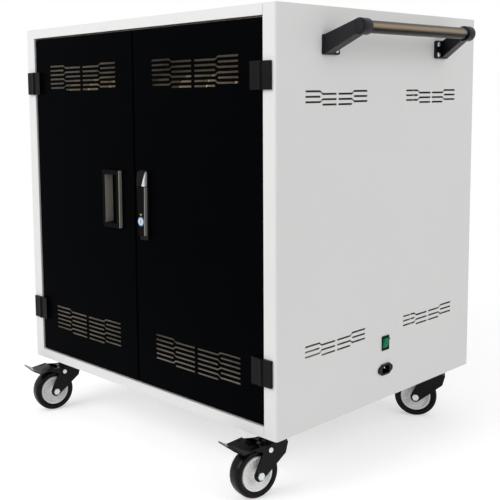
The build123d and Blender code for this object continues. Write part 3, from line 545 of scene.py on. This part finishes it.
class Form:
    """Turns numpy grids into closed meshes that sit at the origin."""

    @staticmethod
    def mesh(name: str, points: np.ndarray, faces: list, smooth: bool) -> bpy.types.Object:
        """Makes an object whose faces point outwards.

        The faces are turned over where the volumes between the triangles and the middle
        of the points add up to less than nothing.

        Args:
            name: the piece's name.
            points: array of points by 3.
            faces: lists of point numbers.
            smooth: whether faces are shaded smooth.

        Returns:
            The object.
        """
        mesh = bpy.data.meshes.new(name)
        mesh.from_pydata(points.reshape(-1, 3).tolist(), [], faces)
        mesh.update()
        mesh.calc_loop_triangles()
        corners = np.zeros(len(mesh.loop_triangles) * 3, int)
        mesh.loop_triangles.foreach_get("vertices", corners)
        centred = points.reshape(-1, 3) - points.reshape(-1, 3).mean(axis=0)
        a, b, c = (centred[corners.reshape(-1, 3)[:, k]] for k in range(3))
        if np.einsum("ij,ij->i", a, np.cross(b, c)).sum() < 0:
            mesh.flip_normals()
        if smooth:
            mesh.shade_smooth()
        piece = bpy.data.objects.new(name, mesh)
        bpy.context.scene.collection.objects.link(piece)
        return piece

    @classmethod
    def ring(cls, name: str, grid: np.ndarray, smooth: bool = True) -> bpy.types.Object:
        """Closed ring surface from a grid that wraps both ways.

        A face joins a point, the next one round the ring, and the two after these along
        the profile.

        Args:
            name: the piece's name.
            grid: turns by profile points by 3.
            smooth: whether faces are shaded smooth.

        Returns:
            The object.
        """
        turns, count = grid.shape[:2]
        index = np.arange(turns * count).reshape(turns, count)
        right = np.roll(index, -1, axis=0)
        faces = np.stack([index, right, np.roll(right, -1, axis=1), np.roll(index, -1, axis=1)], axis=-1)
        return cls.mesh(name, grid, faces.reshape(-1, 4).tolist(), smooth)

    @staticmethod
    def spun(centre: Vector, axis: Vector, across: np.ndarray, radius: np.ndarray) -> np.ndarray:
        """Grid of points round an axis.

        A point is the centre, plus its distance along the axis, plus its radius times the
        cosine and sine of the turn along two directions square to the axis.

        Args:
            centre: a point on the axis.
            axis: the axis as a unit vector, not upright.
            across: turns by points, distances along the axis.
            radius: turns by points, distances from the axis.

        Returns:
            Turns by points by 3.
        """
        side = axis.cross(Vector((0, 0, 1))).normalized()
        up = side.cross(axis)
        turn = np.linspace(0, 2 * math.pi, across.shape[0], endpoint=False)[:, None]
        grid = np.array(centre) + across[..., None] * np.array(axis)
        grid = grid + (radius * np.cos(turn))[..., None] * np.array(side)
        return grid + (radius * np.sin(turn))[..., None] * np.array(up)

    @classmethod
    def washer(
        cls, name: str, centre: Vector, axis: Vector, radii: tuple[float, float],
        levels: tuple[float, float], turns: int,
    ) -> bpy.types.Object:
        """Flat ring: a rectangular section spun round an axis.

        Args:
            name: the piece's name.
            centre: a point on the axis.
            axis: the axis as a unit vector, not upright.
            radii: inner and outer radius, in metres.
            levels: its two faces' distances along the axis, in metres.
            turns: steps round the ring.

        Returns:
            The object.
        """
        (inner, outer), (start, end) = radii, levels
        steps = np.ones((turns, 1))
        around = steps * np.array([inner, outer, outer, inner])
        across = steps * np.array([start, start, end, end])
        return cls.ring(name, cls.spun(centre, axis, across, around), False)

    @classmethod
    def prism(
        cls, name: str, outline: np.ndarray, origin: Vector, u: Vector, v: Vector, rise: Vector
    ) -> bpy.types.Object:
        """Flat outline that is raised into a closed prism.

        Args:
            name: the piece's name.
            outline: points by 2, along u and v.
            origin: where the outline's zero is.
            u: first direction of its plane.
            v: second direction of its plane.
            rise: how far the outline is moved for the other end.

        Returns:
            The object.
        """
        base = np.array(origin) + outline[:, :1] * np.array(u) + outline[:, 1:] * np.array(v)
        count = len(outline)
        walls = [(k, (k + 1) % count, count + (k + 1) % count, count + k) for k in range(count)]
        caps = [tuple(range(count))[::-1], tuple(range(count, 2 * count))]
        return cls.mesh(name, np.concatenate([base, base + np.array(rise)]), walls + caps, False)


@dataclass
class CasterWheel:
    """One caster's wheel: a rubber tyre round a white moulded centre, in millimetres."""

    place: Place
    rib_count: int = 20
    rib_height: float = 1.8
    rib_span: tuple[float, float] = (13.0, 29.0)
    rib_fade: float = 3.0
    rib_sharpness: float = 3.0
    tyre_width: float = 30.0
    shoulder_power: float = 3.4
    groove_place: float = 0.72
    groove_depth: float = 0.6
    groove_width: float = 0.9
    turns: int = 160
    tyre_points: int = 48
    face_points: int = 44
    face_radii: tuple[float, ...] = (5.2, 9.5, 10.5, 12.5, 16.0, 27.0, 29.5, 30.5, 34.0)
    face_heights: tuple[float, ...] = (16.8, 16.8, 15.0, 6.5, 5.0, 7.0, 8.5, 13.6, 13.8)

    def axle(self) -> tuple[Vector, Vector]:
        """Finds the wheel's joint.

        Returns:
            The centre of the wheel and the direction of its axle.
        """
        name = f"{self.place.value}_wheel_roll"
        joint = next(j for j in frame["joints"] if j["name"] == name)
        return Vector(joint["pos_m"]), Vector(joint["axis"]).normalized()

    def height(self, node: str) -> float:
        """Radius of a round CAD node that stands upright, in metres."""
        low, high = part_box(node)
        return (high.z - low.z) / 2

    def tyre(self) -> bpy.types.Object:
        """Makes the tyre.

        Its section is a superellipse: half the width times the cosine, and half the
        depth times the sine, each raised to a power with its sign kept. A bell curve
        across the width cuts a ring groove into each shoulder.

        Returns:
            The tyre.
        """
        outer, rim = self.height(f"{self.place.value}_tyre"), self.height(f"{self.place.value}_hub")
        middle, half_depth, half_width = (outer + rim) / 2, (outer - rim) / 2, self.tyre_width / 2 * MM
        turn = np.linspace(0, 2 * math.pi, self.tyre_points, endpoint=False)
        power = 2 / self.shoulder_power
        across = half_width * signed_power(np.cos(turn), power)
        radius = middle + half_depth * signed_power(np.sin(turn), power)
        offset = (np.abs(across) - half_width * self.groove_place) / (self.groove_width * MM)
        groove = self.groove_depth * MM * np.exp(-(offset**2))
        radius = np.where(radius > middle, radius - groove, radius)
        steps = np.ones((self.turns, 1))
        grid = Form.spun(*self.axle(), steps * across, steps * radius)
        return Form.ring(f"{self.place.value}_tyre_rubber", grid)

    def centre(self) -> bpy.types.Object:
        """Makes the dished centre with its lip, boss and radial ribs.

        The face's height follows the radius through a few knots, and each rib adds a
        hump, the top of a squared cosine round the wheel, that fades at the lip and the
        boss.

        Returns:
            The wheel centre.
        """
        radius = np.linspace(self.face_radii[0], self.face_radii[-1], self.face_points)
        height = np.interp(radius, self.face_radii, self.face_heights)
        turn = np.linspace(0, 2 * math.pi, self.turns, endpoint=False)[:, None]
        wave = np.cos(self.rib_count * turn / 2) ** 2
        hump = np.clip(wave * self.rib_sharpness - (self.rib_sharpness - 1), 0, 1)
        start, end = self.rib_span
        fade = np.clip((radius - start) / self.rib_fade, 0, 1) * np.clip((end - radius) / self.rib_fade, 0, 1)
        face = height + hump * fade * self.rib_height
        across = np.concatenate([face, -face[:, ::-1]], axis=1) * MM
        both = np.ones((self.turns, 1)) * np.concatenate([radius, radius[::-1]]) * MM
        return Form.ring(f"{self.place.value}_wheel_centre", Form.spun(*self.axle(), across, both))

    def build(self, dresser: Dresser) -> list[bpy.types.Object]:
        """Makes, dresses and mounts both pieces.

        Args:
            dresser: gives the finishes.

        Returns:
            The tyre and the wheel centre.
        """
        tyre = dresser.dress(self.tyre(), RUBBER)
        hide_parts(f"{self.place.value}_tyre")
        centre = dresser.dress(self.centre(), HUB_WHITE)
        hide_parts(f"{self.place.value}_hub")
        for piece in (tyre, centre):
            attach(piece, f"{self.place.value}_wheel")
        return [tyre, centre]


@dataclass
class HandleScrews:
    """Domed screws with a round recess on the feet of the push handle, in millimetres."""

    profile_radius: tuple[float, ...] = (0.05, 1.9, 2.2, 3.4, 4.5, 5.0, 5.0, 0.05)
    profile_height: tuple[float, ...] = (0.8, 0.8, 2.1, 2.0, 1.3, 0.4, 0.0, 0.0)
    spacing: float = 21.0
    turns: int = 40

    def screw(self, name: str, centre: Vector) -> bpy.types.Object:
        """Makes one screw, its profile spun round X.

        Args:
            name: the piece's name.
            centre: the middle of its seat.

        Returns:
            The screw.
        """
        steps = np.ones((self.turns, 1))
        across = steps * np.array(self.profile_height) * MM
        around = steps * np.array(self.profile_radius) * MM
        return Form.ring(name, Form.spun(centre, Vector((1, 0, 0)), across, around), False)

    def build(self, dresser: Dresser) -> list[bpy.types.Object]:
        """Makes the two pairs, where the CAD screws are.

        Args:
            dresser: gives the finish.

        Returns:
            Four screws.
        """
        low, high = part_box("handle_screws")
        radius = max(self.profile_radius) * MM
        middle_z = (low.z + high.z) / 2
        made = []
        for side, y in (("front", low.y + radius), ("rear", high.y - radius)):
            for level, sign in (("upper", 1), ("lower", -1)):
                centre = Vector((low.x, y, middle_z + sign * self.spacing / 2 * MM))
                screw = dresser.dress(self.screw(f"{side}_{level}_screw", centre), ZINC)
                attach(screw, "cabinet")
                made.append(screw)
        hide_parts("handle_screws")
        return made


@dataclass
class LockMarks:
    """Blue ring round the key cylinder and a small yellow pointer over it, in millimetres."""

    ring_gap: float = 0.15
    ring_width: float = 1.9
    ring_height: float = 0.7
    pointer_above: float = 15.0
    pointer_span: float = 6.0
    pointer_line: float = 1.8
    thickness: float = 0.5
    turns: int = 72

    def ring(self, centre: Vector, cylinder_radius: float) -> bpy.types.Object:
        """Makes the ring, sunk into the lever by its thickness.

        Args:
            centre: the middle of the cylinder on the lever's face.
            cylinder_radius: in metres.

        Returns:
            The ring.
        """
        inner = cylinder_radius + self.ring_gap * MM
        radii = (inner, inner + self.ring_width * MM)
        levels = (-self.thickness * MM, self.ring_height * MM)
        return Form.washer("key_ring", centre, Vector((0, -1, 0)), radii, levels, self.turns)

    def pointer(self, centre: Vector) -> bpy.types.Object:
        """Makes the pointer, a chevron that points down at the ring.

        Args:
            centre: the middle of the cylinder on the lever's face.

        Returns:
            The pointer.
        """
        span, line = self.pointer_span / 2, self.pointer_line
        arrow = [(-span, 0), (0, -span), (span, 0), (span, line), (0, line - span), (-span, line)]
        origin = centre + Vector((0, self.thickness * MM, self.pointer_above * MM))
        rise = Vector((0, -2 * self.thickness * MM, 0))
        return Form.prism(
            "lock_pointer", np.array(arrow) * MM, origin, Vector((1, 0, 0)), Vector((0, 0, 1)), rise
        )

    def build(self, dresser: Dresser) -> list[bpy.types.Object]:
        """Makes both marks on the lever's face.

        Args:
            dresser: gives the finishes.

        Returns:
            The ring and the pointer.
        """
        low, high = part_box("key_cylinder")
        centre = Vector(((low.x + high.x) / 2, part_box("lock_lever")[0].y, (low.z + high.z) / 2))
        ring, pointer = self.ring(centre, (high.x - low.x) / 2), self.pointer(centre)
        for piece, finish in ((ring, KEY_BLUE), (pointer, MARK_YELLOW)):
            dresser.dress(piece, finish)
            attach(piece, "lock_lever")
        return [ring, pointer]


@dataclass
class RockerMarks:
    """The bar and the ring that mark on and off on the rocker, in millimetres."""

    upper_middle: tuple[float, float] = (4.95, 5.3)
    upper_run: tuple[float, float] = (3.5, 10.6)
    lower_middle: tuple[float, float] = (2.2, -5.4)
    lower_run: tuple[float, float] = (2.0, 10.8)
    bar_width: float = 1.2
    bar_length: float = 5.0
    ring_radius: float = 2.6
    ring_line: float = 0.9
    ring_turns: int = 40
    rise: float = 0.35

    def spot(self, middle: tuple[float, float], run: tuple[float, float]) -> tuple[Vector, Vector, Vector]:
        """Middle of a face, its upward direction and its outward normal.

        Args:
            middle: how far out of the panel and above the switch's middle.
            run: how far the face goes outwards and upwards.

        Returns:
            Point, up and normal.
        """
        low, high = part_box("switch_bezel")
        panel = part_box("right_side_panel")[1].x
        point = Vector((panel + middle[0] * MM, (low.y + high.y) / 2, (low.z + high.z) / 2 + middle[1] * MM))
        up = Vector((run[0], 0, run[1])).normalized()
        return point, up, Vector((up.z, 0, -up.x))

    def bar(self) -> bpy.types.Object:
        """Makes the bar on the upper face, half sunk into it.

        Returns:
            The bar.
        """
        point, up, out = self.spot(self.upper_middle, self.upper_run)
        across, along = self.bar_width / 2, self.bar_length / 2
        outline = np.array([(-across, -along), (across, -along), (across, along), (-across, along)]) * MM
        sink = out * (self.rise * MM)
        return Form.prism("rocker_bar", outline, point - sink, Vector((0, 1, 0)), up, sink * 2)

    def ring(self) -> bpy.types.Object:
        """Makes the ring on the lower face, half sunk into it.

        Returns:
            The ring.
        """
        point, _, out = self.spot(self.lower_middle, self.lower_run)
        radii = ((self.ring_radius - self.ring_line) * MM, self.ring_radius * MM)
        levels = (-self.rise * MM, self.rise * MM)
        return Form.washer("rocker_ring", point, out, radii, levels, self.ring_turns)

    def build(self, dresser: Dresser) -> list[bpy.types.Object]:
        """Makes both marks.

        Args:
            dresser: gives the finish.

        Returns:
            The bar and the ring.
        """
        made = [self.bar(), self.ring()]
        for piece in made:
            dresser.dress(piece, MARK_GREEN)
            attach(piece, "switch_rocker")
        return made


@dataclass
class FrameFinish:
    """Finishes of the CAD nodes that stay in view, and their softened edges."""

    weld_gap: float = 0.01
    flat_angle: float = 1.0
    sharp_angle: float = 38.0
    segments: int = 3

    def soften(self, node: str, width: float) -> None:
        """Rounds a CAD node's sharp edges by modifiers: weld, join flat faces, bevel.

        Args:
            node: the CAD node.
            width: of the bevel, in millimetres.
        """
        piece = frame["nodes"][node]
        weld = piece.modifiers.new("weld", "WELD")
        weld.merge_threshold = self.weld_gap * MM
        planes = piece.modifiers.new("planes", "DECIMATE")
        planes.decimate_type = "DISSOLVE"
        planes.angle_limit = math.radians(self.flat_angle)
        bevel = piece.modifiers.new("soft_edges", "BEVEL")
        bevel.width = width * MM
        bevel.segments = self.segments
        bevel.limit_method = "ANGLE"
        bevel.angle_limit = math.radians(self.sharp_angle)

    def build(self, dresser: Dresser) -> None:
        """Dresses every shown CAD node.

        Args:
            dresser: gives the finishes.
        """
        for finish, nodes in CAD_FINISHES.items():
            for node in nodes:
                dresser.dress(frame["nodes"][node], finish)
                LOG.info("dressed %s in %s", node, finish.name)
        for node, width in SOFT_EDGES.items():
            self.soften(node, width)


@dataclass(frozen=True)
class SoftLamp:
    """A square lamp, with its place and side in metres and its power in watts."""

    name: str
    place: RGB
    side: float
    power: float
    tint: RGB = (1, 1, 1)

    def hang(self, aim: Vector) -> None:
        """Adds the lamp to the scene.

        Args:
            aim: the point that it looks at.
        """
        data = bpy.data.lights.new(self.name, "AREA")
        data.size = self.side
        data.energy = self.power
        data.color = self.tint
        lamp = bpy.data.objects.new(self.name, data)
        bpy.context.scene.collection.objects.link(lamp)
        place = Vector(self.place)
        turn = (aim - place).to_track_quat("-Z", "Y").to_matrix().to_4x4()
        lamp.matrix_world = Matrix.Translation(place) @ turn


@dataclass
class Studio:
    """Floor, lamps, world and the camera at the photograph's viewpoint."""

    focal_px: float = 871.8
    image_px: float = 500.0
    principal_px: tuple[float, float] = (179.1, 194.0)
    camera_mm: RGB = (1831.35, -1177.7, 640.0)
    yaw: float = -47.6
    pitch: float = 6.341
    roll: float = -0.834
    sensor_mm: float = 36.0
    far_m: float = 100.0
    world_glossy: float = 0.8
    world_fill: float = 0.56
    floor_reach: float = 6.0
    floor_colour: RGB = (0.8, 0.8, 0.8)
    floor_glow: RGB = (0.45, 0.45, 0.45)
    floor_roughness: float = 0.8
    floor_specular: float = 0.05
    fade_start: float = 0.75
    fade_end: float = 1.6
    lamps: tuple[SoftLamp, ...] = (
        SoftLamp("key_lamp", (-0.9, -3.4, 2.4), side=2.4, power=76.0),
        SoftLamp("side_lamp", (3.6, 0.4, 2.4), side=2.2, power=34.0),
    )
    lamp_aim: RGB = (0, 0, 0.5)
    glow_gap: float = 0.012
    glow_side: float = 0.22
    glow_tint: RGB = (1.0, 0.86, 0.70)
    glow_shares: tuple[float, ...] = (0.18, 0.82)
    glow_powers: tuple[float, ...] = (0.18, 0.17)

    def corner(self) -> Vector:
        """The cabinet's lower front left corner, which the camera is measured from."""
        side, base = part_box("left_side_panel")[0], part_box("base_panel")[0]
        return Vector((side.x, side.y, base.z))

    def camera(self) -> None:
        """Places the camera by yaw, pitch and roll, with the photograph's shifted centre."""
        yaw, pitch, roll = (math.radians(a) for a in (self.yaw, self.pitch, self.roll))
        ahead = Vector((math.sin(yaw) * math.cos(pitch), math.cos(yaw) * math.cos(pitch), -math.sin(pitch)))
        right = ahead.cross(Vector((0, 0, 1))).normalized()
        up = right.cross(ahead)
        right, up = right * math.cos(roll) + up * math.sin(roll), up * math.cos(roll) - right * math.sin(roll)
        data = bpy.data.cameras.new("camera")
        data.sensor_width = self.sensor_mm
        data.lens = self.focal_px / self.image_px * self.sensor_mm
        data.shift_x = (self.image_px / 2 - self.principal_px[0]) / self.image_px
        data.shift_y = (self.principal_px[1] - self.image_px / 2) / self.image_px
        data.clip_end = self.far_m
        camera = bpy.data.objects.new("camera", data)
        bpy.context.scene.collection.objects.link(camera)
        turn = Matrix((right, up, -ahead)).transposed()
        camera.matrix_world = Matrix.Translation(self.corner() + Vector(self.camera_mm) * MM) @ turn.to_4x4()
        bpy.context.scene.camera = camera

    def world(self) -> None:
        """Surroundings that look white to the camera and light the cart evenly."""
        world = bpy.data.worlds.new("studio")
        bpy.context.scene.world = world
        world.use_nodes = True
        graph = Graph(world.node_tree)
        straight = (graph.ray("Is Camera Ray") + graph.ray("Is Transmission Ray")).clamped()
        glossy = graph.ray("Is Glossy Ray")
        other = glossy * self.world_glossy + (1.0 - glossy) * self.world_fill
        back = graph.tree.nodes["Background"]
        graph.put(back.inputs["Color"], (1, 1, 1, 1))
        graph.put(back.inputs["Strength"], straight + (1.0 - straight) * other)

    def floor(self) -> None:
        """Lays a pale floor that keeps the shadow.

        Its alpha falls from 1 to 0 with the squared distance from the cart, so that it
        fades into the white surroundings.
        """
        reach = self.floor_reach
        corners = np.array([(-reach, -reach, 0), (reach, -reach, 0), (reach, reach, 0), (-reach, reach, 0)])
        mesh = bpy.data.meshes.new("floor")
        mesh.from_pydata(corners.tolist(), [], [(0, 1, 2, 3)])
        floor = bpy.data.objects.new("floor", mesh)
        bpy.context.scene.collection.objects.link(floor)
        paint = Paint("pale_floor")
        x, y = paint.axis("X"), paint.axis("Y")
        span = self.fade_end**2 - self.fade_start**2
        near = 1.0 - ((x * x + y * y - self.fade_start**2) * (1 / span)).clamped()
        seen = (paint.ray("Is Camera Ray") + paint.ray("Is Glossy Ray")).clamped()
        glow = paint.blend(seen, (0.0, 0.0, 0.0), self.floor_glow)
        paint.feed(Base_Color=(*self.floor_colour, 1), Roughness=self.floor_roughness, Alpha=near)
        paint.feed(Specular_IOR_Level=self.floor_specular, Emission_Color=glow, Emission_Strength=1.0)
        mesh.materials.append(paint.material)

    def glow(self, door: str) -> None:
        """Hangs small lamps behind a front door, at shares of its height, that look inwards.

        Args:
            door: the door's CAD node.
        """
        low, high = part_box(door)
        for share, power in zip(self.glow_shares, self.glow_powers):
            level = low.z + share * (high.z - low.z)
            place = ((low.x + high.x) / 2, high.y + self.glow_gap, level)
            lamp = SoftLamp(f"{door}_glow_{share}", place, self.glow_side, power, self.glow_tint)
            lamp.hang(Vector(place) + Vector((0, 1, 0)))

    def build(self) -> None:
        """Sets up the whole studio, with two small lamps behind each front door."""
        bpy.context.scene.view_settings.view_transform = "Standard"
        self.camera()
        self.world()
        self.floor()
        for lamp in self.lamps:
            lamp.hang(Vector(self.lamp_aim))
        for door in ("left_door", "right_door"):
            self.glow(door)


def main() -> None:
    """Builds the studio, dresses the frame and adds the modelled pieces."""
    logging.basicConfig(level=logging.INFO, format="%(name)s: %(message)s")
    dresser = Dresser()
    Studio().build()
    FrameFinish().build(dresser)
    groups = [CasterWheel(place) for place in Place] + [HandleScrews(), LockMarks(), RockerMarks()]
    for group in groups:
        for piece in group.build(dresser):
            LOG.info("built %s", piece.name)


if __name__ == "__main__":
    main()
